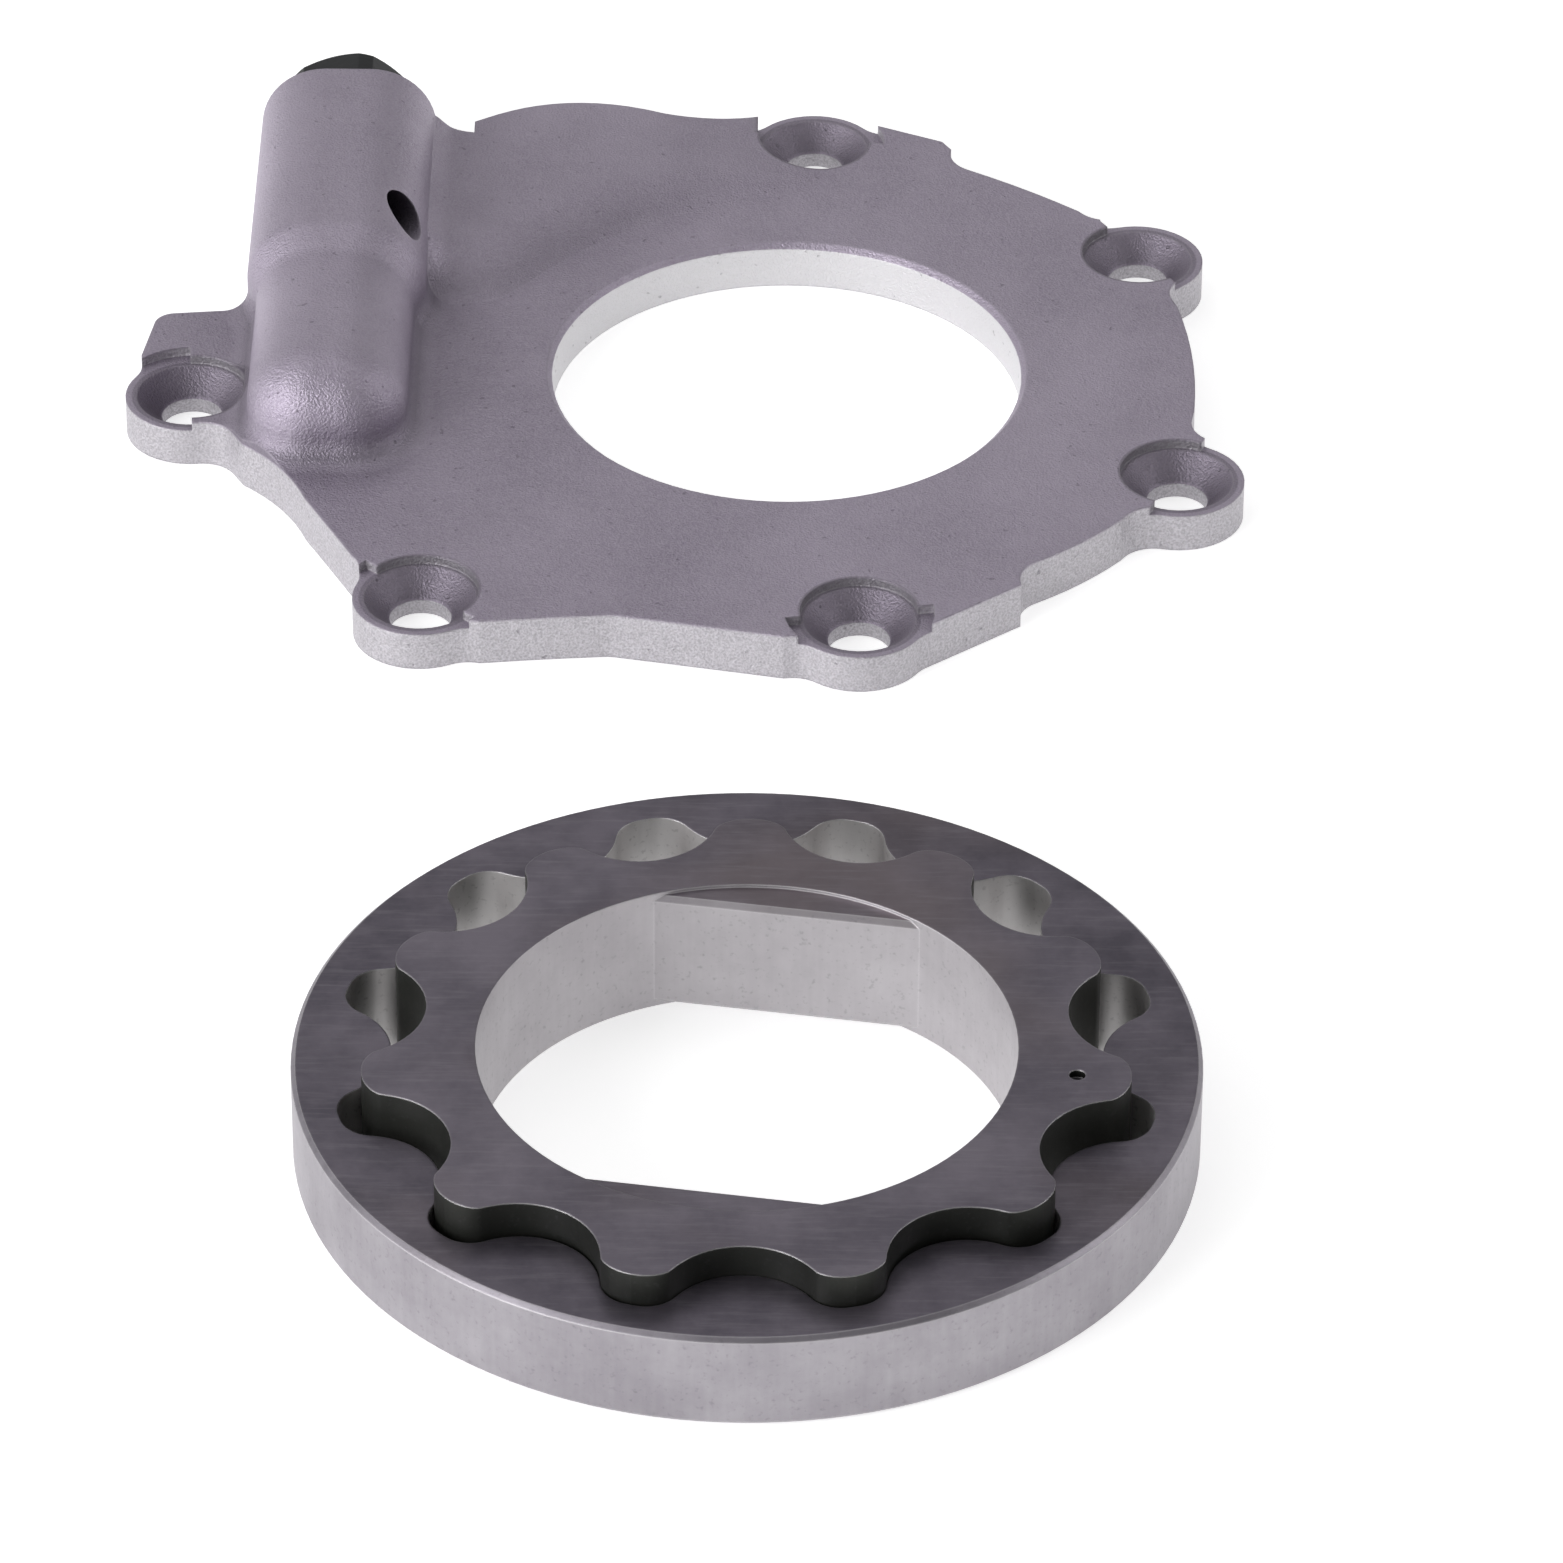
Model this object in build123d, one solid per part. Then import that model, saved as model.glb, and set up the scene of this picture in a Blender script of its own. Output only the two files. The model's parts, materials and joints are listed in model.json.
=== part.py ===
"""Crank-driven engine oil pump kit, laid out on a bench.

The cover plate lies outer face up, with its pressure relief valve inside the cast tube on its
left. The gerotor set, an inner rotor turning inside an outer rotor, lies in front of it.
Millimetres, +Z up. The origin is the cover's bore axis, on the cover's underside.
"""

import os
from math import atan2, cos, degrees, exp, hypot, pi, radians, sin

from build123d import *

os.makedirs("parts", exist_ok=True)

# ---------------------------------------------------------------- driving dimensions
# Gerotor set
INNER_LOBES = 11            # the outer rotor has one more
ECCENTRICITY = 3.8          # between the two rotor axes
TOOTH_ROUND = 10.0          # radius of an outer rotor tooth
TOOTH_SETOUT = 9.3          # tooth centres lie this far outside the outer rotor's pitch circle
TIP_GAP = 0.06              # running gap between the two tooth forms
RECESS_GAP = 0.15           # from an inner lobe's tip to the outer rotor's recess
RECESS_FILLET = 4.4         # where there is room for it between two teeth
FILLET_SHARE = 0.9          # and otherwise this much of what would just fit
RIM_WALL = 4.9              # outer rotor, from recess to outside
HUB_WALL = 7.0              # inner rotor, from lobe root to drive bore
FLAT_STEP = 4.7             # each drive flat stands this far into the bore
FLAT_TILT = -9.4            # degrees, how the rotor happens to lie
FLAT_LEDGE = 0.5            # the flats' ends sit below the rotor's faces by this
FLAT_BEVEL = 0.7
OUTER_THICKNESS = 13.4
INNER_THICKNESS = 17.9
OUTER_BEVEL = 0.6
TIMING_DOT_DIAMETER = 2.1
TIMING_DOT_DEPTH = 1.2
TIMING_DOT_RADIUS = 41.8    # from the inner rotor's axis, on a lobe's centre line
TIMING_LOBE = 3             # counted clockwise from the lobe at the back

# Cover plate
PLATE_THICKNESS = 7.0
SHAFT_STEP = 0.9            # the cover bore is this much smaller in radius than the drive bore
BORE_BEVEL = 0.8
SCREW_HOLE_DIAMETER = 8.5   # M8 countersunk screws, close fit
SCREW_HEAD_DIAMETER = 16.2
SCREW_HEAD_SINK = 1.4       # straight part of the screw head's recess
SINK_LEDGE = 0.4            # flat ledge round the countersink
EAR_RADIUS = 9.3
EAR_FILLET = 5.0
TAB_WIDTH = 7.5             # the square tab behind the left ear, out from the screw
TAB_BACK_Y = 14.5
TAB_CORNER = 3.0

# Relief valve
TUBE_OUTSET = 6.7           # tube axis, outside the outer rotor's radius
TUBE_WIDTH = 25.4
TUBE_HEIGHT = 22.0
TUBE_SHOULDER = 9.5         # rounding of its upper corners
TUBE_FOOT_ROUND = 3.0       # rounding of its lower corners
TUBE_FAR_Y = 56.5
TUBE_STEP_Y = 9.0           # the tube is slimmer in front of this
TUBE_STEP_LENGTH = 5.0
STEP_ROUND = 4.0
TUBE_FRONT_Y = -24.5
TUBE_SLIMMING = 1.5
NOSE_ROUND = 8.5
TUBE_FILLET = 3.5           # cast fillet where the tube meets the plate
VALVE_AXIS_Z = 10.5
VALVE_BORE = 13.0
VALVE_BORE_END_Y = -16.0
PLUG_THREAD = 16.0
PLUG_THREAD_LENGTH = 16.0
PLUG_HEX = 19.0
PLUG_HEAD = 6.5
PLUG_TURN = -17.0           # degrees, how the hexagon stands
SEAL_THICKNESS = 0.8
SEAL_DIAMETER = 18.6
PISTON_GAP = 0.05           # radial
PISTON_LENGTH = 20.0
PISTON_WALL = 1.6
PISTON_CROWN = 4.0
SPRING_WIRE = 1.5
SPRING_GAP = 0.35           # between the coil and the piston's skirt
SPRING_TURNS = 13
SHIM_THICKNESS = 1.0
VENT_DIAMETER = 6.4
VENT_Y = 21.0
VENT_OUT_X = 9.8
VENT_DOWN = 3.0
VENT_DIRECTION = (0.62, -0.72, 0.3)
VENT_DEPTH = 17.0           # as far as the valve bore
THREAD_GAP = 0.05
PISTON_NOSE = 1.5           # its blunt tip, narrower than the piston by this step
PISTON_NOSE_STEP = 2.0
PISTON_EDGE = 0.4
PISTON_GROOVE = (1.0, 0.5)  # wide, deep
SPRING_REST = 0.1           # between the coil's end and its seat
PLUG_TIP_BEVEL = 1.0
PLUG_HEAD_BEVEL = 0.9
FEED_DIAMETER = 6.0
FEED_Y = -12.5              # pressure comes in under the piston's nose
SPILL_Y = -3.5              # and leaves here once the piston has moved back
CHANNEL_DEPTH = 2.6

# Ports cast into the underside
PORT_DEPTH = 3.2
PORT_SPAN = (24.0, 155.0)   # degrees about the outer rotor's axis, mirrored for the other port
PORT_MARGIN = 1.0
CHANNEL_WIDTH = 7.0
HOOD_HEIGHT = 4.2           # the plate bulges up over the suction port, most beside the tube
HOOD_ROOT = 0.5             # the bulge's sheet starts this far inside the plate
SHEET_TOLERANCE = 0.05
HOOD_GRID = (42, 33)        # steps of the grid that the sheet runs through
HOOD_FOOT_RADIUS = 40.0     # about the bore
HOOD_FOOT_SPREAD = 0.0022   # and further out to the right
HOOD_SPREAD_X = -32.0
HOOD_FRONT_Y = 13.5
HOOD_SLOPE_WIDTH = 11.0
HOOD_LOW_X = 18.0           # the bulge rises from nothing to its height between these
HOOD_FULL_X = -42.0
HOOD_NOTCH = 5.5            # its back left corner stops this far from the tube

# How the pieces lie
BENCH_GAP = 42.2            # from the cover's front ears to the outer rotor
ROTOR_SHIFT_X = -4.0

# ---------------------------------------------------------------- worked-out sizes
OUTER_TEETH = INNER_LOBES + 1
TOOTH_CENTRE = OUTER_TEETH * ECCENTRICITY + TOOTH_SETOUT
TOOTH_TIP = TOOTH_CENTRE - TOOTH_ROUND
LOBE_ROOT = TOOTH_TIP - ECCENTRICITY
LOBE_TIP = TOOTH_TIP + ECCENTRICITY
RECESS_RADIUS = LOBE_TIP + ECCENTRICITY + RECESS_GAP
ROTOR_RADIUS = RECESS_RADIUS + RIM_WALL
DRIVE_RADIUS = LOBE_ROOT - HUB_WALL
BORE_RADIUS = DRIVE_RADIUS - SHAFT_STEP
TUBE_X = -(ROTOR_RADIUS + TUBE_OUTSET)
CONE_DEPTH = (SCREW_HEAD_DIAMETER - SCREW_HOLE_DIAMETER) / 2 - SINK_LEDGE
PLUG_SEAT_Y = TUBE_FAR_Y + SEAL_THICKNESS
PLUG_TIP_Y = TUBE_FAR_Y - PLUG_THREAD_LENGTH


def polar(r, angle):
    return (r * cos(radians(angle)), r * sin(radians(angle)))


def on_plate(angle, outset):
    """A point of the plate, by its angle about the bore and its distance outside the rotor."""
    return polar(ROTOR_RADIUS + outset, angle)


# The six screws, and the rim's run between each one and the next, both as (angle, outset).
SCREWS = [on_plate(*p) for p in
          [(183.9, 26.6), (228.4, 17.4), (279.6, 4.0), (334.9, 2.8), (32.2, 2.2), (86.6, 4.6)]]
FRONT_OF_COVER = min(y for _, y in SCREWS) - EAR_RADIUS
ROTOR_Y = FRONT_OF_COVER - BENCH_GAP - ROTOR_RADIUS
FRONT_LEFT_RIM = [(195, 21.1), (201, 17.5), (207, 17.2), (213, 17.6), (219, 18.9)]
FRONT_RIM = [(237, 18.6), (243, 12.9), (249, 8.9), (259, 8.0), (270, 9.4)]
FRONT_RIGHT_STEP = [(284.6, 10.6), (301, 5.4), (302.5, 1.8)]
FRONT_RIGHT_RIM = [(302.5, 1.8), (312, 2.1), (321, 2.3)]
RIGHT_RIM = [(350, 0.7), (3, 0.1), (17, 0.8)]
BACK_RIGHT_RIM = [(45.5, 2.6), (54.5, 2.2), (67.5, 3.0)]
BACK_RIGHT_STEP = [(67.5, 3.0), (68.3, 6.8), (70.1, 8.4), (82, 11.1)]
BACK_RIM = [(91.6, 10.9), (99, 8.6), (106, 10.3), (116.5, 15.9), (127.7, 17.7)]


def ring_of(points):
    return [on_plate(*p) for p in points]


def closed_face(*pieces):
    """The face inside a chain of edges; a list of points stands for straight runs."""
    edges = []
    for piece in pieces:
        edges += Polyline(*piece).edges() if isinstance(piece, list) else [piece]
    return make_face(edges)


def write(shape, name):
    shape.label = name
    export_step(shape, f"parts/{name}.step")


# ---------------------------------------------------------------- gerotor set
def lobe_point(t):
    """The inner rotor's outline: a parallel curve of the path of a tooth centre round it."""
    n = OUTER_TEETH
    x = TOOTH_CENTRE * cos(t) + ECCENTRICITY * cos(n * t)
    y = TOOTH_CENTRE * sin(t) + ECCENTRICITY * sin(n * t)
    dx = -TOOTH_CENTRE * sin(t) - n * ECCENTRICITY * sin(n * t)
    dy = TOOTH_CENTRE * cos(t) + n * ECCENTRICITY * cos(n * t)
    inset = (TOOTH_ROUND + TIP_GAP) / hypot(dx, dy)
    return (x - dy * inset, y + dx * inset)


def lobed_outline():
    """One valley, from lobe tip to lobe tip, turned round the rotor."""
    half = pi / INNER_LOBES
    steps = [k / 12 for k in range(-12, 13)]
    valley = Spline(*[lobe_point(half + half * (0.14 * u + 0.86 * u**3)) for u in steps])
    pitch = 360 / INNER_LOBES
    return make_face([valley.rotate(Axis.Z, k * pitch) for k in range(INNER_LOBES)])


def inner_rotor():
    body = extrude(lobed_outline(), INNER_THICKNESS)
    body -= Cylinder(DRIVE_RADIUS, 3 * INNER_THICKNESS)
    inside = DRIVE_RADIUS - FLAT_STEP
    flats = extrude(Circle(DRIVE_RADIUS + 1), INNER_THICKNESS - 2 * FLAT_LEDGE)
    flats = Pos(0, 0, FLAT_LEDGE) * flats
    flats -= Pos(0, 0, INNER_THICKNESS / 2) * Box(3 * DRIVE_RADIUS, 2 * inside, INNER_THICKNESS)
    edges = [e for e in flats.edges().filter_by(Axis.X) if abs(abs(e.center().Y) - inside) < 0.01]
    flats = chamfer(edges, FLAT_BEVEL)
    # The lobes' first tip lies at +X, so a quarter turn lays one at the back.
    body = Rot(0, 0, 90) * body + Rot(0, 0, FLAT_TILT) * flats
    dot = Pos(*polar(TIMING_DOT_RADIUS, 90 - TIMING_LOBE * 360 / INNER_LOBES), INNER_THICKNESS)
    body -= dot * Cylinder(TIMING_DOT_DIAMETER / 2, 2 * TIMING_DOT_DEPTH)
    return body


def full_round():
    """The radius that touches two neighbouring teeth and the recess's circle."""
    half_pitch = pi / OUTER_TEETH
    inward = TOOTH_CENTRE * cos(half_pitch) - RECESS_RADIUS
    sideways = TOOTH_CENTRE * sin(half_pitch)
    return (inward**2 + sideways**2 - TOOTH_ROUND**2) / (2 * (TOOTH_ROUND - inward))


def outer_rotor():
    teeth = [Pos(*polar(TOOTH_CENTRE, k * 360 / OUTER_TEETH)) * Circle(TOOTH_ROUND)
             for k in range(OUTER_TEETH)]
    cavity = Circle(RECESS_RADIUS) - teeth
    corners = [v for v in cavity.vertices() if abs(hypot(v.X, v.Y) - RECESS_RADIUS) < 0.01]
    cavity = fillet(corners, min(RECESS_FILLET, FILLET_SHARE * full_round()))
    blank = extrude(Circle(ROTOR_RADIUS), OUTER_THICKNESS)
    blank = chamfer(blank.edges(), OUTER_BEVEL)
    return blank - extrude(cavity, OUTER_THICKNESS)


# ---------------------------------------------------------------- cover plate
def arcs_through(angles_and_outsets):
    """Arcs end to end, each through three of the points."""
    points = ring_of(angles_and_outsets)
    return [ThreePointArc(*points[k:k + 3]) for k in range(0, len(points) - 2, 2)]


def plate_outline():
    s = SCREWS
    runs = [
        [s[0], ring_of(FRONT_LEFT_RIM)[0]], *arcs_through(FRONT_LEFT_RIM),
        [ring_of(FRONT_LEFT_RIM)[-1], s[1], ring_of(FRONT_RIM)[0]], *arcs_through(FRONT_RIM),
        [ring_of(FRONT_RIM)[-1], s[2], *ring_of(FRONT_RIGHT_STEP)], *arcs_through(FRONT_RIGHT_RIM),
        [ring_of(FRONT_RIGHT_RIM)[-1], s[3], ring_of(RIGHT_RIM)[0]], *arcs_through(RIGHT_RIM),
        [ring_of(RIGHT_RIM)[-1], s[4], ring_of(BACK_RIGHT_RIM)[0]], *arcs_through(BACK_RIGHT_RIM),
        [*ring_of(BACK_RIGHT_STEP), s[5], ring_of(BACK_RIM)[0]], *arcs_through(BACK_RIM),
    ]
    back = ring_of(BACK_RIM)[-1]
    tab_left = s[0][0] - TAB_WIDTH
    tab_right = TUBE_X - TUBE_WIDTH / 2 - 1
    tube_right = TUBE_X + TUBE_WIDTH / 2
    tab = [back, (back[0] - 1, TUBE_FAR_Y + 1), (tube_right, TUBE_FAR_Y + 1),
           (tube_right, TUBE_FAR_Y - 1), (TUBE_X, TUBE_FAR_Y - 1),
           (TUBE_X, TAB_BACK_Y), (tab_right, TAB_BACK_Y),
           (tab_left + 1.7, TAB_BACK_Y - 1.3), (tab_left, 2.2), s[0]]
    outline = closed_face(*runs, tab)
    corner = [v for v in outline.vertices() if (v.X < tab_left + 2 and v.Y > TAB_BACK_Y - 2)]
    outline = fillet(corner, TAB_CORNER)
    outline = outline + [Pos(*p) * Circle(EAR_RADIUS) for p in s]
    # Growing and shrinking again rounds every inside corner at the ears' necks.
    return offset(offset(outline, EAR_FILLET), -EAR_FILLET)


def tube_section(width, height, y):
    """Across the tube: flat underneath, rounded above."""
    outline = Pos(0, height / 2) * Rectangle(width, height)
    outline = fillet(outline.vertices().group_by(Axis.Y)[-1], TUBE_SHOULDER)
    return Plane(origin=(TUBE_X, y, 0), x_dir=(-1, 0, 0), z_dir=(0, 1, 0)) * outline


def valve_tube():
    """A slim front run with a rounded nose, a sloped step, and the full-size back run."""
    slim = (TUBE_WIDTH - 2 * TUBE_SLIMMING, TUBE_HEIGHT - TUBE_SLIMMING)
    full = (TUBE_WIDTH, TUBE_HEIGHT)
    step_end = TUBE_STEP_Y + TUBE_STEP_LENGTH
    front = extrude(tube_section(*slim, TUBE_STEP_Y), TUBE_FRONT_Y - TUBE_STEP_Y)
    nose = [e for e in front.edges() if abs(e.center().Y - TUBE_FRONT_Y) < 0.01 and e.center().Z > 1]
    front = fillet(nose, NOSE_ROUND)
    step = loft([tube_section(*slim, TUBE_STEP_Y), tube_section(*full, step_end)], ruled=True)
    back = extrude(tube_section(*full, step_end), TUBE_FAR_Y - step_end)
    tube = front + step + back
    upper = [e for e in tube.edges() if e.center().Z > 0.1]
    ends = (TUBE_STEP_Y, step_end)
    across = [e for e in upper if any(abs((e @ 0).Y - y) + abs((e @ 1).Y - y) < 0.02 for y in ends)]
    return fillet(across, STEP_ROUND)


def tube_on_slab():
    """The tube on a large slab, with the cast fillet all round its foot."""
    size = 4 * ROTOR_RADIUS
    slab = Pos(0, 0, PLATE_THICKNESS / 2) * Box(size, size, PLATE_THICKNESS)
    body = slab + valve_tube()
    near = [e for e in body.edges() if abs(e.center().X - TUBE_X) < TUBE_WIDTH]
    return fillet([e for e in near if abs(e.center().Z - PLATE_THICKNESS) < 0.01], TUBE_FILLET)


def loose_tube():
    """The tube's own body, its lower corners rounded where it hangs past the plate."""
    tube = valve_tube()
    low = [e for e in tube.edges().filter_by(Axis.Y) if e.center().Z < 0.01]
    return fillet([e for e in low if e.center().Y > TUBE_STEP_Y + TUBE_STEP_LENGTH], TUBE_FOOT_ROUND)


def smooth_step(t):
    """0 below 0, 1 above 1, and an S between."""
    t = min(max(t, 0), 1)
    return t * t * (3 - 2 * t)


def smaller(a, b):
    """The smaller of two, without a crease where they are equal."""
    return (a + b - hypot(a - b, HOOD_SLOPE_WIDTH / 2)) / 2


def hood_height(x, y):
    """The bulge over the suction port: it climbs away from the bore, falls off to the right,
    and turns up against the valve tube."""
    from_bore = hypot(x, y) - HOOD_FOOT_RADIUS - HOOD_FOOT_SPREAD * max(x - HOOD_SPREAD_X, 0) ** 2
    from_front = y - HOOD_FRONT_Y
    climb = smooth_step(smaller(from_bore, from_front) / HOOD_SLOPE_WIDTH)
    fall = smooth_step((HOOD_LOW_X - x) / (HOOD_LOW_X - HOOD_FULL_X))
    tube_wall = TUBE_X + TUBE_WIDTH / 2
    turn_up = TUBE_FILLET * exp(-max(x - tube_wall, 0) / (TUBE_FILLET / 2))
    return -HOOD_ROOT + climb * ((HOOD_ROOT + HOOD_HEIGHT) * fall + turn_up)


def hood_sheet(left, right, near, far):
    """One smooth face through the bulge's heights."""
    columns = [left + (right - left) * i / HOOD_GRID[0] for i in range(HOOD_GRID[0] + 1)]
    rows = [near + (far - near) * j / HOOD_GRID[1] for j in range(HOOD_GRID[1] + 1)]
    heights = [[Vector(x, y, PLATE_THICKNESS + hood_height(x, y)) for y in rows] for x in columns]
    return Face.make_surface_from_array_of_points(heights, tol=SHEET_TOLERANCE)


def hood(outline):
    """The block under that sheet, as far as the plate's rim, less its corner behind the tube."""
    left, right = TUBE_X, HOOD_LOW_X
    near, far = HOOD_FRONT_Y, TUBE_FAR_Y + TUBE_WIDTH
    margin = HOOD_SLOPE_WIDTH
    sheet = hood_sheet(left - margin, right + margin, near - margin, far + margin)
    floor = PLATE_THICKNESS / 2
    block = Box(right - left, far - near, TUBE_HEIGHT - floor, align=Align.MIN)
    block = Pos(left, near, floor) * block
    lower = split(block, bisect_by=sheet, keep=Keep.BOTH).solids().sort_by(Axis.Z)[0]
    rim = extrude(outline, TUBE_HEIGHT, dir=(0, 0, 1))
    notch_x = TUBE_X + TUBE_WIDTH / 2 + HOOD_NOTCH
    notch = Pos(notch_x - TUBE_WIDTH / 2, TUBE_FAR_Y + TUBE_WIDTH / 2, PLATE_THICKNESS + TUBE_HEIGHT / 2)
    return (lower & rim) - notch * Box(TUBE_WIDTH, TUBE_WIDTH, TUBE_HEIGHT)


def screw_recess(x, y):
    """A countersink and a clear hole; outside the screw's centre the ear lies as low as the sink."""
    wide, narrow = SCREW_HEAD_DIAMETER / 2, SCREW_HOLE_DIAMETER / 2
    reach = EAR_RADIUS + 1
    outer_half = Rot(0, 0, degrees(atan2(y, x))) * Pos(reach, 0) * Rectangle(2 * reach, 2 * reach)
    floor = Pos(0, 0, PLATE_THICKNESS - SCREW_HEAD_SINK)
    sink = floor * extrude(Circle(wide) + (outer_half & Circle(reach)), SCREW_HEAD_SINK + 1)
    cone = floor * Pos(0, 0, -CONE_DEPTH / 2) * Cone(narrow, wide - SINK_LEDGE, CONE_DEPTH)
    hole = extrude(Circle(narrow), PLATE_THICKNESS)
    return Pos(x, y) * (sink + cone + hole)


def bore_along_y(diameter, y_from, y_to):
    plane = Plane(origin=(TUBE_X, y_from, VALVE_AXIS_Z), x_dir=(1, 0, 0), z_dir=(0, 1, 0))
    return extrude(plane * Circle(diameter / 2), y_to - y_from)


def valve_cavity():
    thread = bore_along_y(PLUG_THREAD, PLUG_TIP_Y, TUBE_FAR_Y + 1)
    return thread + bore_along_y(VALVE_BORE, VALVE_BORE_END_Y, PLUG_TIP_Y)


def vent_hole():
    """Drilled into the tube's shoulder at a slant, so that it opens as a drop-shaped mouth."""
    mouth = (TUBE_X + VENT_OUT_X, VENT_Y, TUBE_HEIGHT - VENT_DOWN)
    drill = Plane(origin=mouth, z_dir=VENT_DIRECTION) * Circle(VENT_DIAMETER / 2)
    return extrude(drill, TUBE_WIDTH) + extrude(drill, -VENT_DEPTH)


def port(mirrored):
    """A kidney under the ring of chambers, about the outer rotor's axis."""
    inner = LOBE_ROOT + PORT_MARGIN
    outer = RECESS_RADIUS - PORT_MARGIN
    start, end = PORT_SPAN
    middle, half = (inner + outer) / 2, (outer - inner) / 2
    spine = CenterArc((0, 0), middle, start, end - start)
    kidney = Pos(-ECCENTRICITY, 0) * trace(spine, 2 * half)
    if mirrored:
        kidney = mirror(kidney, Plane.XZ)
    return extrude(kidney, PORT_DEPTH)


def channel(port_end, y):
    """A cast groove from a port's end to the hole under the valve bore."""
    x0, y0 = polar((LOBE_ROOT + RECESS_RADIUS) / 2, port_end)
    run = Polyline((x0 - ECCENTRICITY, y0), (TUBE_X, y))
    groove = extrude(trace(run, CHANNEL_WIDTH), CHANNEL_DEPTH)
    groove += Pos(TUBE_X, y) * extrude(Circle(CHANNEL_WIDTH / 2), CHANNEL_DEPTH)
    return groove + Pos(TUBE_X, y) * extrude(Circle(FEED_DIAMETER / 2), VALVE_AXIS_Z)


def cover_plate():
    outline = plate_outline()
    rim = extrude(outline, 2 * TUBE_HEIGHT, dir=(0, 0, 1))
    body = (tube_on_slab() & rim) + loose_tube() + hood(outline)
    for x, y in SCREWS:
        body -= screw_recess(x, y)
    bevel = Cone(BORE_RADIUS, BORE_RADIUS + BORE_BEVEL, BORE_BEVEL)
    body -= Cylinder(BORE_RADIUS, 3 * PLATE_THICKNESS)
    body -= Pos(0, 0, PLATE_THICKNESS - BORE_BEVEL / 2) * bevel
    body -= valve_cavity()
    body -= vent_hole()
    body -= port(False)
    body -= port(True)
    body -= channel(PORT_SPAN[1], SPILL_Y)
    body -= channel(-PORT_SPAN[1], FEED_Y)
    return body


# ---------------------------------------------------------------- relief valve
def relief_piston():
    radius = VALVE_BORE / 2 - PISTON_GAP
    plane = Plane(origin=(TUBE_X, VALVE_BORE_END_Y, VALVE_AXIS_Z), x_dir=(1, 0, 0), z_dir=(0, 1, 0))
    nose = extrude(Circle(radius - PISTON_NOSE_STEP), PISTON_NOSE)
    skirt = Pos(0, 0, PISTON_NOSE) * extrude(Circle(radius), PISTON_LENGTH - PISTON_NOSE)
    skirt = chamfer(skirt.edges(), PISTON_EDGE)
    pocket = Pos(0, 0, PISTON_CROWN) * extrude(Circle(radius - PISTON_WALL), PISTON_LENGTH)
    width, depth = PISTON_GROOVE
    groove = extrude(Circle(radius + depth) - Circle(radius - depth), width)
    groove = Pos(0, 0, PISTON_CROWN + 2 * width) * groove
    return plane * (nose + skirt - pocket - groove)


def relief_spring():
    seat_y = VALVE_BORE_END_Y + PISTON_CROWN
    top_y = PLUG_TIP_Y - SHIM_THICKNESS
    radius = VALVE_BORE / 2 - PISTON_GAP - PISTON_WALL - SPRING_GAP - SPRING_WIRE / 2
    length = top_y - seat_y - SPRING_WIRE - 2 * SPRING_REST
    coil = Helix(pitch=length / SPRING_TURNS, height=length, radius=radius)
    wire = Plane(origin=coil @ 0, z_dir=coil % 0) * Circle(SPRING_WIRE / 2)
    spring = sweep(wire, path=coil, is_frenet=True)
    start_y = seat_y + SPRING_WIRE / 2 + SPRING_REST
    return Plane(origin=(TUBE_X, start_y, VALVE_AXIS_Z), x_dir=(1, 0, 0), z_dir=(0, 1, 0)) * spring


def spring_shim():
    washer = bore_along_y(VALVE_BORE - 2 * SPRING_GAP, PLUG_TIP_Y - SHIM_THICKNESS, PLUG_TIP_Y)
    return washer - bore_along_y(VALVE_BORE / 3, PLUG_TIP_Y - 2 * SHIM_THICKNESS, PLUG_TIP_Y + 1)


def relief_plug():
    shank = bore_along_y(PLUG_THREAD - 2 * THREAD_GAP, PLUG_TIP_Y, PLUG_SEAT_Y)
    shank = chamfer(shank.edges().group_by(Axis.Y)[0], PLUG_TIP_BEVEL)
    plane = Plane(origin=(TUBE_X, PLUG_SEAT_Y, VALVE_AXIS_Z), x_dir=(-1, 0, 0), z_dir=(0, 1, 0))
    hexagon = Rot(0, 0, PLUG_TURN) * RegularPolygon(PLUG_HEX / 2, 6, major_radius=False)
    head = extrude(plane * hexagon, PLUG_HEAD)
    dome = extrude(plane * Circle(PLUG_HEX / 2 + PLUG_HEAD_BEVEL), PLUG_HEAD)
    dome = chamfer(dome.edges().group_by(Axis.Y)[-1], PLUG_HEAD_BEVEL)
    return shank + (head & dome)


def plug_seal():
    ring = bore_along_y(SEAL_DIAMETER, TUBE_FAR_Y, PLUG_SEAT_Y)
    return ring - bore_along_y(PLUG_THREAD + 2 * THREAD_GAP, TUBE_FAR_Y - 1, PLUG_SEAT_Y + 1)


def main():
    write(Pos(ROTOR_SHIFT_X, ROTOR_Y, 0) * outer_rotor(), "outer_rotor")
    write(Pos(ROTOR_SHIFT_X, ROTOR_Y - ECCENTRICITY, 0) * inner_rotor(), "inner_rotor")
    write(cover_plate(), "cover_plate")
    write(relief_piston(), "relief_piston")
    write(relief_spring(), "relief_spring")
    write(spring_shim(), "spring_shim")
    write(relief_plug(), "relief_plug")
    write(plug_seal(), "plug_seal")


main()
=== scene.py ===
"""Looks for an engine oil pump kit: its cast cover with the relief valve, and its gerotor set."""

import json
from math import cos, radians, sin

import bpy
from mathutils import Matrix, Vector


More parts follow.
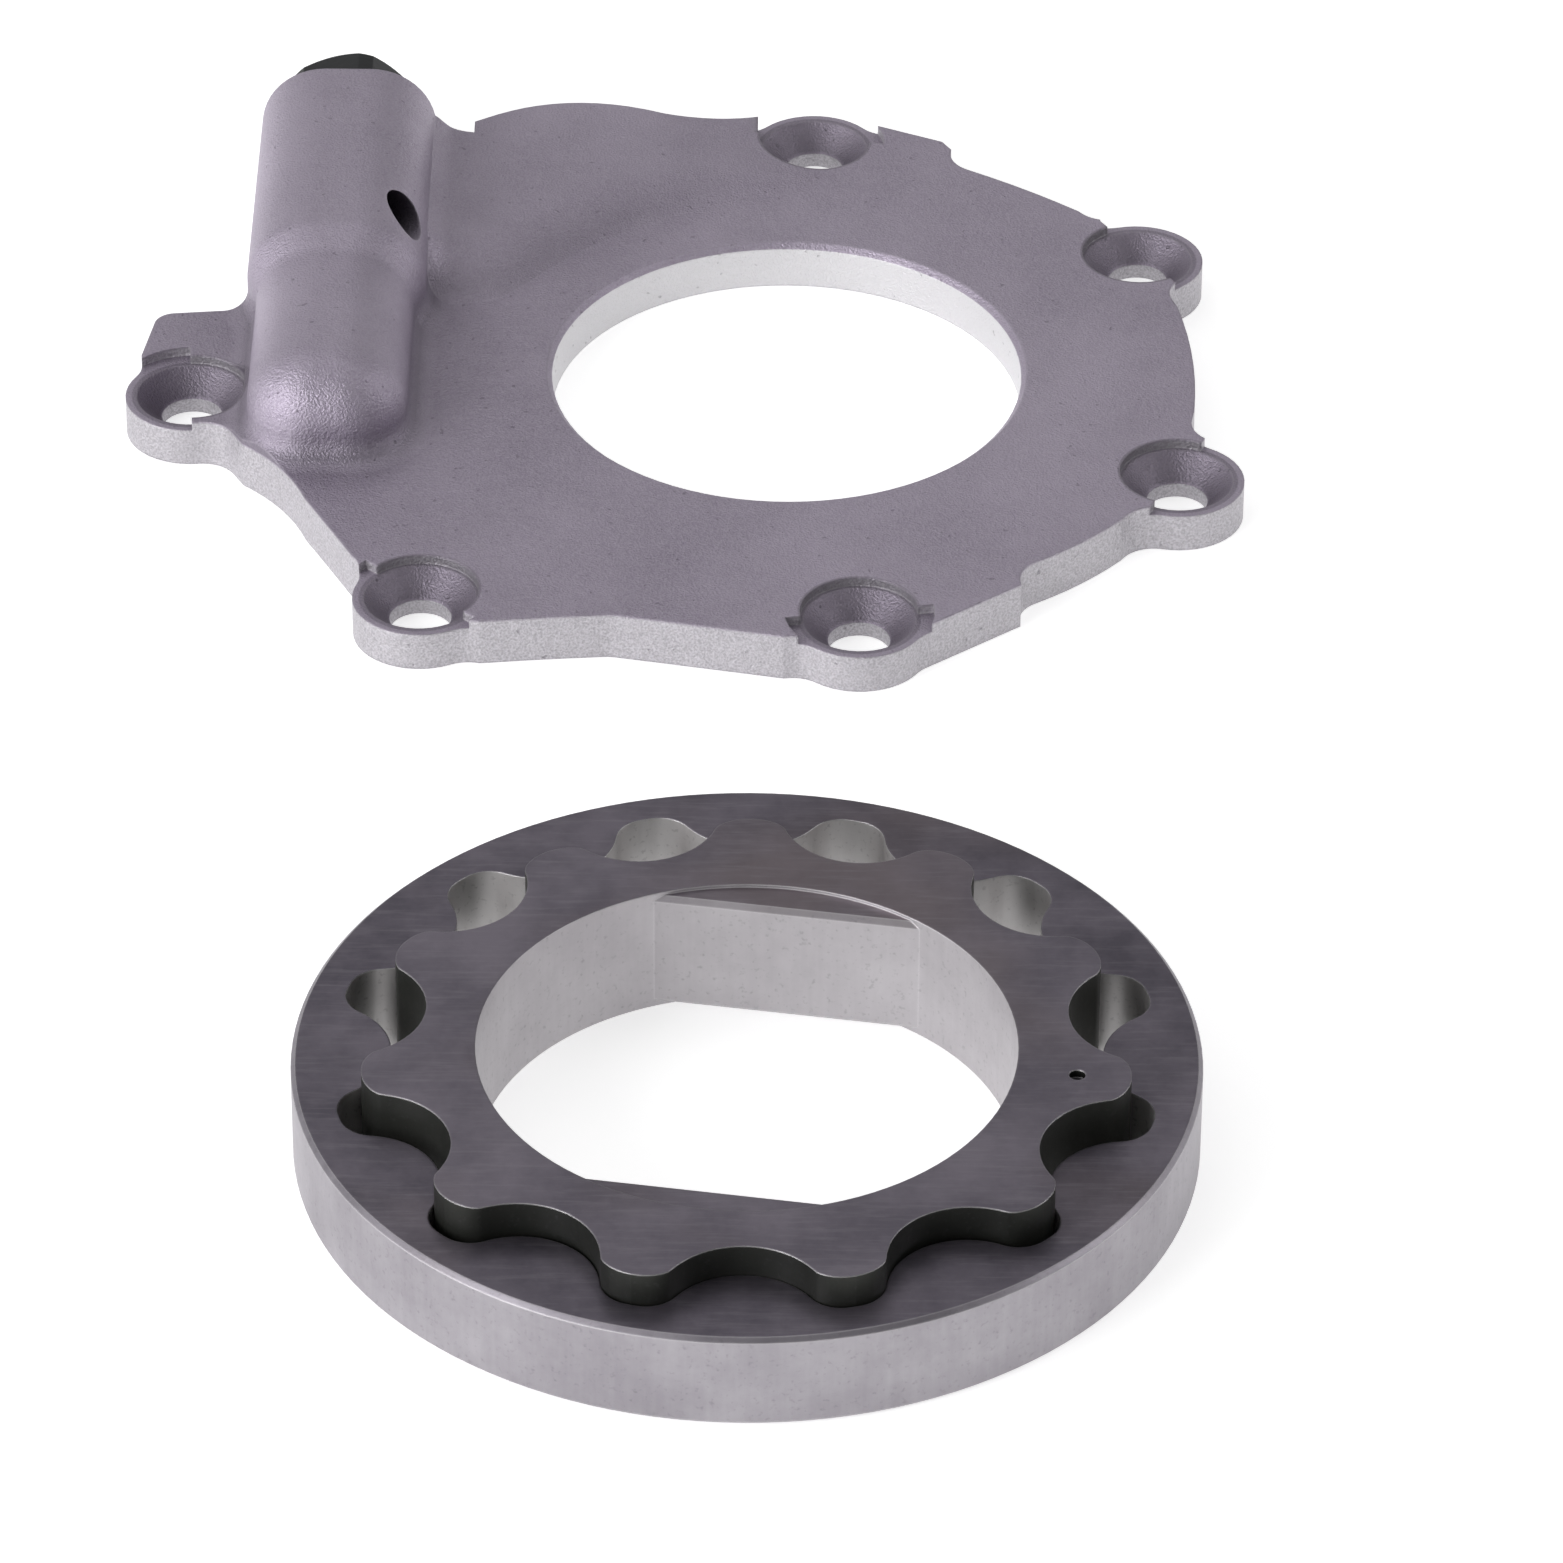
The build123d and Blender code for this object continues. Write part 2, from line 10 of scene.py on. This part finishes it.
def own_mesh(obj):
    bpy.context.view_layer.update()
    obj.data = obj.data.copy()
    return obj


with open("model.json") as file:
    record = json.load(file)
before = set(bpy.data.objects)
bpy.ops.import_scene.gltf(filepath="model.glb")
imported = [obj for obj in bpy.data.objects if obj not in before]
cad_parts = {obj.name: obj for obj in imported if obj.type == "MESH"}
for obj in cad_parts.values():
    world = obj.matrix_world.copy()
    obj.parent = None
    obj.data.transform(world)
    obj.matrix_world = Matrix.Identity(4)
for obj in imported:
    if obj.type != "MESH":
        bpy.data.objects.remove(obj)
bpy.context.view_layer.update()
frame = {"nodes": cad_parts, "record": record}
nodes = frame["nodes"]
scene = bpy.context.scene
scene.view_settings.view_transform = "Standard"


# ------------------------------------------------------------------ camera
# A long lens from the front and above, aimed at the gap between the cover and the rotors.
aim = Vector((-0.0001, -0.0912, 0))
distance = 1.24
elevation = radians(35.28)
azimuth = radians(0.18)
roll = radians(0.34)
away = Vector((sin(azimuth) * cos(elevation), -cos(azimuth) * cos(elevation), sin(elevation)))

camera = bpy.data.objects.new("camera", bpy.data.cameras.new("camera"))
camera.data.sensor_width = 36
camera.data.lens = 213.3
camera.data.clip_start = 0.05
camera.data.clip_end = 20
camera.rotation_mode = "QUATERNION"
level = (-away).to_track_quat("-Z", "Y")
camera.rotation_quaternion = level @ Matrix.Rotation(roll, 4, "Z").to_quaternion()
camera.location = aim + away * distance
scene.collection.objects.link(camera)
scene.camera = camera


# ------------------------------------------------------------------ node graphs
# Materials and the world are written as expressions on node outputs.
class Graph:
    """A material's or the world's node tree, filled from Python expressions."""

    def __init__(self, tree):
        self.tree = tree
        tree.nodes.clear()

    def node(self, kind, settings=None, out=0, **sockets):
        """Adds a node: its settings, then its sockets by name (_ for a space), or in_0 by number."""
        made = self.tree.nodes.new(kind)
        for name, value in (settings or {}).items():
            setattr(made, name, value)
        for name, value in sockets.items():
            key = int(name[3:]) if name.startswith("in_") else name.replace("_", " ")
            socket = made.inputs[key]
            if isinstance(value, Socket):
                self.tree.links.new(value.link, socket)
            else:
                socket.default_value = value
        return Socket(self, made.outputs[out]) if made.outputs else None

    def ramp(self, amount, stops):
        """A grey that follows the amount through (place, shade) stops."""
        shown = self.node("ShaderNodeValToRGB", Fac=amount)
        elements = shown.link.node.color_ramp.elements
        while len(elements) < len(stops):
            elements.new(0.5)
        for element, (place, shade) in zip(elements, stops):
            element.position = place
            element.color = (shade, shade, shade, 1)
        return shown


class Socket:
    """A node's output. Arithmetic on it adds Math nodes."""

    def __init__(self, graph, link):
        self.graph = graph
        self.link = link

    def other(self, name):
        """Another output of the same node."""
        return Socket(self.graph, self.link.node.outputs[name])

    def math(self, operation, a, b=0.0, clamp=False):
        settings = {"operation": operation, "use_clamp": clamp}
        return self.graph.node("ShaderNodeMath", settings, in_0=a, in_1=b)

    def __add__(self, other):
        return self.math("ADD", self, other)

    def __mul__(self, other):
        return self.math("MULTIPLY", self, other)

    def __sub__(self, other):
        return self.math("SUBTRACT", self, other)

    def __rsub__(self, other):
        return self.math("SUBTRACT", other, self)

    def most(self, other):
        return self.math("MAXIMUM", self, other)

    def above(self, low, high):
        """0 below low, 1 above high, straight between."""
        return self.math("MULTIPLY", self - low, 1 / (high - low), clamp=True)

    __radd__ = __add__
    __rmul__ = __mul__


def material(name):
    made = bpy.data.materials.new(name)
    made.use_nodes = True
    return made, Graph(made.node_tree)


def put_on(piece, finish):
    piece.data.materials.clear()
    piece.data.materials.append(finish)


def blended(g, amount, low, high):
    """A colour between two others."""
    return g.node("ShaderNodeMix", {"data_type": "RGBA"}, out=2, in_0=amount, in_6=low, in_7=high)


# ------------------------------------------------------------------ floor
# A plain pale floor. The camera sees it white except where the pieces shade it.
floor_reach = 3.0
floor_drop = 0.0001         # below the pieces' undersides

floor_mesh = bpy.data.meshes.new("floor")
floor_corners = [(-floor_reach, -floor_reach, 0), (floor_reach, -floor_reach, 0),
                 (floor_reach, floor_reach, 0), (-floor_reach, floor_reach, 0)]
floor_mesh.from_pydata(floor_corners, [], [(0, 1, 2, 3)])
floor = bpy.data.objects.new("floor", floor_mesh)
floor.location.z = -floor_drop
scene.collection.objects.link(floor)

floor_finish, g = material("pale_floor")
path = g.node("ShaderNodeLightPath")
seen = path.most(path.other("Is Glossy Ray")).most(path.other("Is Transmission Ray"))
paper = g.node("ShaderNodeBsdfDiffuse", Color=(0.80, 0.80, 0.80, 1))
glow = g.node("ShaderNodeEmission", Color=(1, 1, 1, 1), Strength=0.62)
lit_paper = g.node("ShaderNodeAddShader", in_0=paper, in_1=glow)
shown = g.node("ShaderNodeMixShader", Fac=seen, in_1=paper, in_2=lit_paper)
g.node("ShaderNodeOutputMaterial", Surface=shown)
put_on(floor, floor_finish)


# ------------------------------------------------------------------ studio
# Pale low down and dark overhead, with a dark screen to the right and a window to the left. The
# camera itself sees plain white. Three soft lamps give the pieces their form.
screen_towards = (0.86, -0.47, 0.16)
screen_shade = (0.06, 0.06, 0.06, 1)
window_towards = (-0.88, -0.46, 0.10)
window_shade = (2.6, 2.6, 2.6, 1)
patch_edge = (0.70, 0.95)   # cosines from the middle of the screen or the window

world = bpy.data.worlds.new("studio")
scene.world = world
world.use_nodes = True
g = Graph(world.node_tree)
direction = g.node("ShaderNodeTexCoord")
upward = g.node("ShaderNodeSeparateXYZ", Vector=direction).other("Z")
sky = g.ramp(upward, [(0.0, 0.9), (0.25, 0.75), (0.55, 0.38), (0.75, 0.18), (1.0, 0.10)])
for towards, shade in ((screen_towards, screen_shade), (window_towards, window_shade)):
    facing = g.node("ShaderNodeVectorMath", {"operation": "DOT_PRODUCT"}, out=1,
                    in_0=direction, in_1=towards)
    sky = blended(g, facing.above(*patch_edge), sky, shade)
path = g.node("ShaderNodeLightPath")
studio = g.node("ShaderNodeBackground", Color=sky, Strength=0.75)
white = g.node("ShaderNodeBackground", Color=(1, 1, 1, 1), Strength=1.0)
shown = g.node("ShaderNodeMixShader", Fac=path, in_1=studio, in_2=white)
g.node("ShaderNodeOutputWorld", Surface=shown)


def soft_lamp(name, place, size, watts):
    lamp = bpy.data.lights.new(name, "AREA")
    lamp.shape = "RECTANGLE"
    lamp.size, lamp.size_y = size
    lamp.energy = watts
    made = bpy.data.objects.new(name, lamp)
    made.location = place
    made.rotation_mode = "QUATERNION"
    made.rotation_quaternion = (aim - Vector(place)).to_track_quat("-Z", "Y")
    scene.collection.objects.link(made)


soft_lamp("front_left_lamp", place=(-1.35, -1.1, 0.75), size=(1.1, 0.9), watts=14)
soft_lamp("right_lamp", place=(1.4, -0.1, 0.8), size=(0.8, 0.6), watts=5)
soft_lamp("top_lamp", place=(-0.35, 0.35, 1.6), size=(2.0, 2.0), watts=9)


# ------------------------------------------------------------------ surface patterns
# What the finishes are mixed by: grain, softened corners, the way a face looks, and distances.
def position(g):
    """The place on a piece, in metres."""
    return g.node("ShaderNodeTexCoord", out=3)


def grain(g, scale, detail, place, roughness=0.5):
    """Noise, by its number of grains in a metre."""
    return g.node("ShaderNodeTexNoise", Vector=place, Scale=scale, Detail=detail, Roughness=roughness)


def rounded(g, radius):
    """The surface's direction with its corners eased, and 1 on sharp corners, 0 on flats."""
    soft = g.node("ShaderNodeBevel", {"samples": 5}, Radius=radius)
    true = g.node("ShaderNodeNewGeometry", out=1)
    dot = g.node("ShaderNodeVectorMath", {"operation": "DOT_PRODUCT"}, out=1, in_0=soft, in_1=true)
    return soft, (1 - dot).above(0.005, 0.08)


def upward_share(g):
    """1 where a face looks straight up, 0 on walls."""
    true = g.node("ShaderNodeNewGeometry", out=1)
    return g.node("ShaderNodeSeparateXYZ", Vector=true).other("Z")


def distance_from(g, place, point):
    """How far a place is from a point, seen from above."""
    apart = g.node("ShaderNodeVectorMath", {"operation": "SUBTRACT"}, in_0=place, in_1=point)
    apart = g.node("ShaderNodeVectorMath", {"operation": "MULTIPLY"}, in_0=apart, in_1=(1, 1, 0))
    return g.node("ShaderNodeVectorMath", {"operation": "LENGTH"}, out=1, in_0=apart)


# ------------------------------------------------------------------ cover plate
# A die casting in aluminium, blasted to a fine purplish grey grain. Its rim and its bore are
# bare, and painted lighter as well for the light they catch; its screw recesses, corners and creases
# get painted shade.
plate_top = 0.0070
hole_top = 0.0022           # the screw holes widen above this
recess_radius = 0.0083      # round each screw
bore_reach = 0.037          # the bore's wall lies inside this
foot_low = 0.0010           # above the plate: the painted crease shade is darkest below this
foot_high = 0.0042          # and fade out here
crevice = 0.014             # how far a corner's shade reaches
screws = [m["pos_m"] for m in frame["record"]["mounts"] if m["name"].startswith("screw_hole")]

cast_dark = (0.335, 0.290, 0.370, 1)
cast_light = (0.450, 0.395, 0.490, 1)
cast_glint = (0.52, 0.475, 0.55, 1)
# Painted shade for corners and hollows.
painted_corner_shade = (0.07, 0.062, 0.075, 1)
# Painted shade for the creases; the same colour darkens the real pits.
painted_crease_shade_and_pit_dark = (0.10, 0.09, 0.11, 1)
# The plate's walls: machined bare, and painted lighter as well for the light they catch; the bore
# lightest.
rim_dark = (0.44, 0.425, 0.45, 1)
rim_light = (0.64, 0.62, 0.655, 1)
bore_painted_light = (0.74, 0.73, 0.75, 1)
# Painted shade for the screw recesses.
recess_painted_shade = (0.12, 0.105, 0.13, 1)
# Edges: wear, and a painted highlight where they catch light.
worn_edge_and_highlight = (0.60, 0.57, 0.62, 1)

cast_finish, g = material("cast_aluminium")
place = position(g)
blotches = grain(g, 38, 4, place, 0.6)
fine = grain(g, 3200, 2, place)
coarse = grain(g, 900, 3, place)
pits = grain(g, 900, 1, place).above(0.72, 0.78)
speckle = fine.above(0.35, 0.65)
height_up = g.node("ShaderNodeSeparateXYZ", Vector=place).other("Z")

recess = 1 - distance_from(g, place, screws[0]).above(recess_radius, recess_radius + 0.0002)
for screw in screws[1:]:
    near = 1 - distance_from(g, place, screw).above(recess_radius, recess_radius + 0.0002)
    recess = recess.most(near)
recess = recess * height_up.above(hole_top, hole_top + 0.0003)

below_top = 1 - height_up.above(plate_top - 0.0004, plate_top)
# The plate's walls below its top: machined bare, and painted lighter for the bright floor they
# reflect.
machined_walls_painted_lighter = (1 - upward_share(g).above(0.05, 0.45)) * below_top
in_bore = 1 - distance_from(g, place, (0, 0, 0)).above(bore_reach, bore_reach + 0.001)
# Painted shade along the crease where sloping faces meet the plate top.
sloping = 1 - upward_share(g).above(0.72, 0.995)
crease = sloping * height_up.above(plate_top - 0.0001, plate_top + 0.0001)
crease = crease * (1 - height_up.above(plate_top + foot_low, plate_top + foot_high))
# Painted shade: ambient occlusion finds the corners and hollows to darken.
open_air = g.node("ShaderNodeAmbientOcclusion", {"samples": 6}, out=1, Distance=crevice)
shaded = 1 - open_air.above(0.35, 0.97)
soft, edges = rounded(g, 0.0005)

colour = blended(g, blotches.above(0.3, 0.7), cast_dark, cast_light)
colour = blended(g, speckle * 0.5, colour, cast_glint)
# Painted shade darkens the corners and hollows.
colour = blended(g, shaded * 0.5, colour, painted_corner_shade)
# Painted shade in the creases.
colour = blended(g, crease * 0.45, colour, painted_crease_shade_and_pit_dark)
# Machined walls: bare metal, painted lighter as well for the light they catch.
colour = blended(g, machined_walls_painted_lighter * 0.9, colour, blended(g, speckle, rim_dark, rim_light))
colour = blended(g, machined_walls_painted_lighter * in_bore * 0.9, colour, bore_painted_light)
# Painted shade inside the screw recesses.
colour = blended(g, recess * 0.45, colour, recess_painted_shade)
colour = blended(g, pits * 0.35, colour, painted_crease_shade_and_pit_dark)
# Edges lightened: wear, and a painted highlight.
colour = blended(g, edges * 0.2, colour, worn_edge_and_highlight)

height = fine + coarse * 0.5 - pits * 0.5
bump = g.node("ShaderNodeBump", Strength=0.85, Distance=0.0002, Height=height, Normal=soft)
surface = g.node("ShaderNodeBsdfPrincipled", Base_Color=colour, Metallic=0.75,
                 Roughness=0.42 + coarse * 0.14, Normal=bump)
g.node("ShaderNodeOutputMaterial", Surface=surface)
put_on(nodes["cover_plate"], cast_finish)


# ------------------------------------------------------------------ rotors
# Both rotors are pressed and sintered steel. Their faces are ground and brushed, dark, with brownish
# oil stains.
# Their walls carry painted light and shade: outside, recess walls and bore painted bright, the inner
# rotor's lobe flanks painted dark as shade.
brush_turn = radians(24)    # how the brush marks lie across a face
brush_scale = (110, 1300, 400)
streak_scale = (900, 900, 60)
oil_stain = (0.190, 0.150, 0.140, 1)
brush_mark = (0.30, 0.28, 0.31, 1)
wall_speck = (0.10, 0.095, 0.10, 1)
bare_edge_and_highlight = (0.75, 0.73, 0.75, 1)


def middle_of(piece):
    corners = [Vector(corner) for corner in piece.bound_box]
    return sum(corners, Vector()) / len(corners)


def rotor_finish(name, centre, split_at, face, outer_wall_painted_lighting, inner_wall_painted_lighting):
    """Each finish is a pair of colours; split_at is the radius between outer and inner walls. The
    wall pairs are painted light and shade.
    """
    made, g = material(name)
    place = position(g)
    mottle = grain(g, 70, 5, place, 0.65)
    cloud = grain(g, 24, 3, place)
    speck = grain(g, 1500, 2, place)
    along_top = g.node("ShaderNodeMapping", Vector=place, Rotation=(0, 0, brush_turn),
                       Scale=brush_scale)
    scratches = grain(g, 1, 3, along_top, 0.7)
    up_walls = g.node("ShaderNodeMapping", Vector=place, Scale=streak_scale)
    streaks = grain(g, 1, 2, up_walls, 0.6)
    top = upward_share(g).above(0.5, 0.95)
    outside = distance_from(g, place, centre).above(split_at, split_at + 0.0005)
    soft, edges = rounded(g, 0.00035)

    ground = blended(g, mottle.above(0.36, 0.66), *face)
    ground = blended(g, cloud.above(0.5, 0.72) * 0.4, ground, oil_stain)
    ground = blended(g, scratches.above(0.5, 0.8) * 0.35, ground, brush_mark)
    mixed = mottle.above(0.35, 0.65) * 0.6 + streaks * 0.4
    # Painted light and shade on the walls: each wall pair is set for how light falls there.
    side = blended(g, outside, blended(g, mixed, *inner_wall_painted_lighting), blended(g, mixed, *outer_wall_painted_lighting))
    side = blended(g, speck.above(0.60, 0.75) * 0.25, side, wall_speck)
    colour = blended(g, top, side, ground)
    # Edges lightened: wear, and a painted highlight, stronger on the walls.
    colour = blended(g, edges * (0.7 - top * 0.55), colour, bare_edge_and_highlight)

    roughness = 0.34 + mottle * 0.14 + (1 - top) * 0.06
    height = scratches * 0.3 + speck * 0.4 + streaks * (1 - top) * 0.3
    bump = g.node("ShaderNodeBump", Strength=0.25, Distance=0.0001, Height=height, Normal=soft)
    surface = g.node("ShaderNodeBsdfPrincipled", Base_Color=colour, Metallic=0.85,
                     Roughness=roughness, Normal=bump)
    g.node("ShaderNodeOutputMaterial", Surface=surface)
    return made


outer, inner = nodes["outer_rotor"], nodes["inner_rotor"]
put_on(outer, rotor_finish(
    "outer_rotor_steel", middle_of(outer), split_at=0.0545,
    face=[(0.108, 0.097, 0.122, 1), (0.190, 0.170, 0.205, 1)],
    # Outer rotor: its outside painted a little darker, its recess walls painted bright.
    outer_wall_painted_lighting=[(0.30, 0.28, 0.31, 1), (0.46, 0.44, 0.47, 1)],
    inner_wall_painted_lighting=[(0.62, 0.60, 0.60, 1), (0.80, 0.78, 0.78, 1)]))
put_on(inner, rotor_finish(
    "inner_rotor_steel", middle_of(inner), split_at=0.0365,
    face=[(0.138, 0.124, 0.153, 1), (0.215, 0.193, 0.230, 1)],
    # Inner rotor: its lobe flanks painted near black as shade, its bore painted bright.
    outer_wall_painted_lighting=[(0.040, 0.042, 0.038, 1), (0.060, 0.062, 0.056, 1)],
    inner_wall_painted_lighting=[(0.42, 0.40, 0.42, 1), (0.56, 0.54, 0.56, 1)]))


# ------------------------------------------------------------------ relief valve
# A black hexagon-headed plug on a bright washer closes the tube. Piston, spring and shim are
# inside it, in plain ground steel and spring wire.
def plain_steel(name, shade, rough, metallic):
    made, g = material(name)
    place = position(g)
    patches = grain(g, 180, 3, place)
    fine = grain(g, 1400, 2, place)
    dark = tuple(0.75 * c for c in shade)
    worn_and_highlight = tuple(min(1, 2.5 * c + 0.02) for c in shade)
    soft, edges = rounded(g, 0.0003)
    colour = blended(g, patches.above(0.35, 0.65), (*dark, 1), (*shade, 1))
    # Edges lightened: wear, and a painted highlight.
    colour = blended(g, edges * 0.4, colour, (*worn_and_highlight, 1))
    bump = g.node("ShaderNodeBump", Strength=0.2, Distance=0.0001, Height=fine, Normal=soft)
    surface = g.node("ShaderNodeBsdfPrincipled", Base_Color=colour, Metallic=metallic,
                     Roughness=patches * 0.2 + rough, Normal=bump)
    g.node("ShaderNodeOutputMaterial", Surface=surface)
    return made


for node, name, shade, rough, metallic in (
        ("relief_plug", "black_plug", (0.012, 0.013, 0.015), 0.4, 0.2),
        ("plug_seal", "seal_washer", (0.55, 0.55, 0.55), 0.35, 0.9),
        ("relief_piston", "ground_steel", (0.5, 0.5, 0.5), 0.22, 1.0),
        ("relief_spring", "spring_wire", (0.22, 0.22, 0.24), 0.3, 1.0),
        ("spring_shim", "shim_steel", (0.45, 0.45, 0.45), 0.3, 1.0)):
    put_on(nodes[node], plain_steel(name, shade, rough, metallic))

# The spring gets a mesh of its own. The share of its length that the piston's travel takes is worked
# out but not kept.
spring = nodes["relief_spring"]
slide = next(j for j in frame["record"]["behaviour"]["joints"] if j["name"] == "relief_slide")
fixed_end = slide["deforming_nodes"][0]["fixed_end_y_m"]
free_end = min((spring.matrix_world @ Vector(corner)).y for corner in spring.bound_box)
1 - slide["range_m"][1] / (fixed_end - free_end)
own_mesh(spring)
